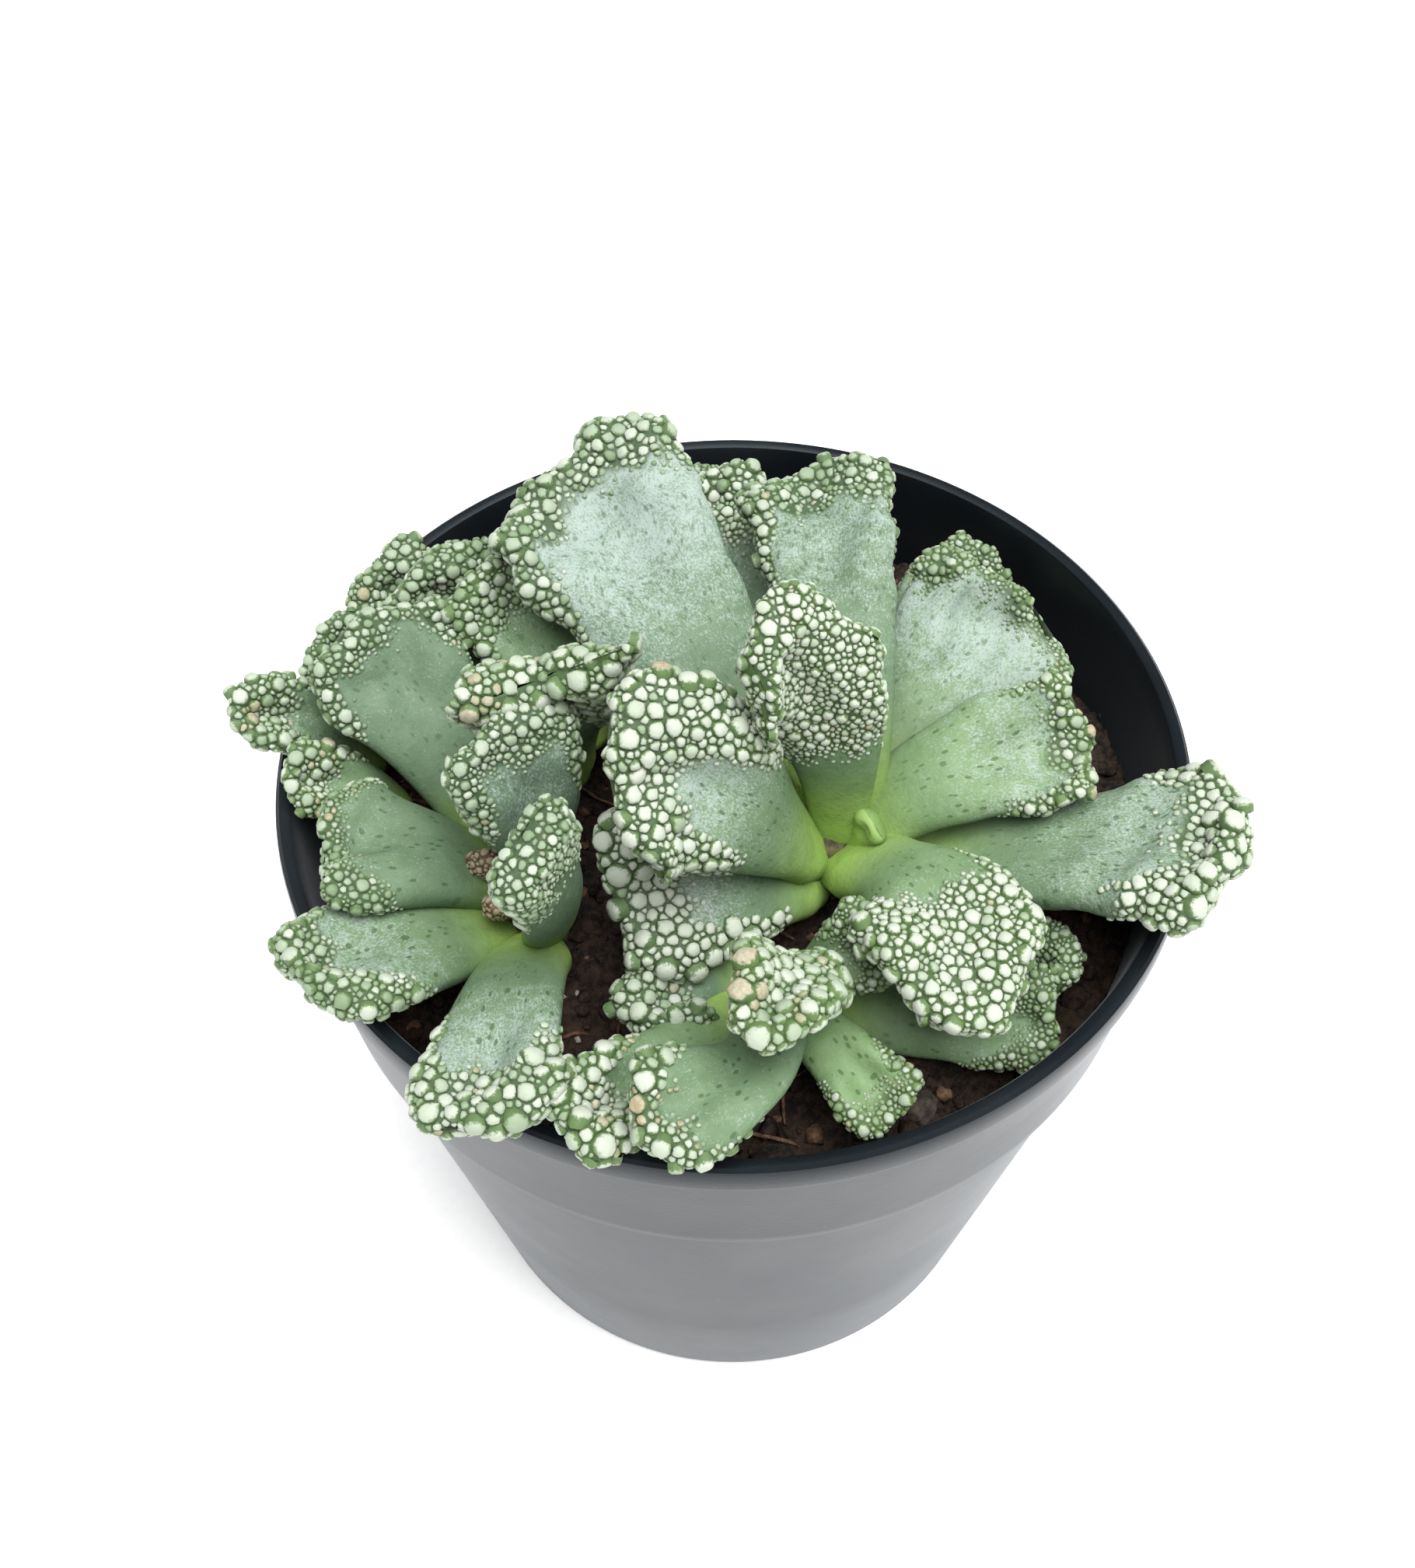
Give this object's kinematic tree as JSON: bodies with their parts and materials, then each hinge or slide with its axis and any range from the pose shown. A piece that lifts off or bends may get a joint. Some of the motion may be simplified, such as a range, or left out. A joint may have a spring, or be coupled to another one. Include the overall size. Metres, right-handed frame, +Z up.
{
  "type": "potted concrete leaf succulent",
  "caption": "Low clump of spoon-shaped grey-green leaves with white warts on their thick tips, in dark soil in a round tapered nursery pot.",
  "frame": {"origin": "middle of the pot's underside, on the plane the pot stands on", "axes": "+Z up; -Y toward the side the picture was taken from; +X to that picture's right"},
  "size_m": [0.0814, 0.0775, 0.0918],
  "materials": {
    "pot_plastic": "satin black moulded plastic",
    "soil": "rough dark peat with fibres",
    "stem": "smooth fleshy plant stem",
    "leaf": "waxy leaf, pale warts on the tip",
    "new_leaf": "smooth bright young leaf",
    "dried_leaf": "papery brown shrivelled leaf",
    "grit": "rough mineral grain"
  },
  "bodies": {
    "root": {"pot": "pot_plastic", "soil": "soil", "stem_a": "stem", "stem_b": "stem", "stem_c": "stem", "stem_d": "stem", "leaf_a1": "leaf", "leaf_a2": "leaf", "leaf_a3": "leaf", "leaf_a4": "leaf", "leaf_a5": "leaf", "leaf_a6": "leaf", "leaf_a7": "leaf", "leaf_a8": "leaf", "leaf_a9": "leaf", "leaf_a10": "leaf", "leaf_a11": "leaf", "leaf_b1": "leaf", "leaf_b2": "leaf", "leaf_b3": "leaf", "leaf_b4": "leaf", "leaf_b5": "leaf", "leaf_d1": "leaf", "leaf_d2": "leaf", "leaf_d3": "leaf", "leaf_d4": "leaf", "leaf_d5": "leaf", "leaf_d6": "leaf", "leaf_d7": "leaf", "leaf_c1": "leaf", "leaf_c2": "leaf", "leaf_c3": "leaf", "leaf_c4": "leaf", "leaf_c5": "leaf", "leaf_c6": "leaf", "leaf_c7": "leaf", "leaf_a12": "leaf", "leaf_a13": "leaf", "leaf_d8": "leaf", "leaf_d9": "leaf", "dried_leaves": "dried_leaf", "new_leaf_1": "new_leaf", "new_leaf_2": "new_leaf", "grit_1": "grit", "grit_2": "grit", "grit_3": "grit", "grit_4": "grit"}
  },
  "joints": []
}
